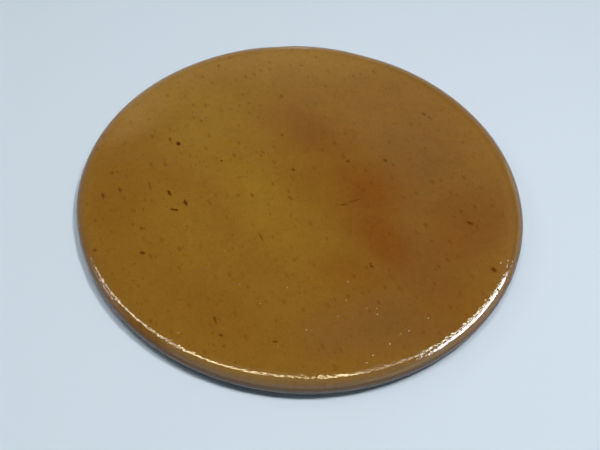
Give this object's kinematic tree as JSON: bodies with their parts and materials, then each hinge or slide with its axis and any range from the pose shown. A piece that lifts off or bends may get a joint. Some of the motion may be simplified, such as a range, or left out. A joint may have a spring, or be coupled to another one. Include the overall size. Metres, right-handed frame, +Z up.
{
  "type": "ceramic pizza plate",
  "caption": "Round, flat, thick plate of fired clay under a glossy brown glaze, with a rolled edge and low foot rings, for baking and serving pizza.",
  "frame": {"origin": "centre of the plate on the plane of its foot rings, which is the table that it stands on", "axes": "+Z is up, along the plate's axis and out of its cooking surface; X and Y lie in the table, and -Y is the side nearest the camera in the picture"},
  "size_m": [0.33, 0.33, 0.0165],
  "materials": {
    "bare_clay": "matt, slightly gritty fired clay, unglazed",
    "honey_glaze": "glossy honey-brown glaze, mottled olive and red-brown, with small dark iron specks and a fine orange-peel surface"
  },
  "bodies": {
    "root": {"clay_body": "bare_clay", "glaze_coat": "honey_glaze"}
  },
  "joints": []
}
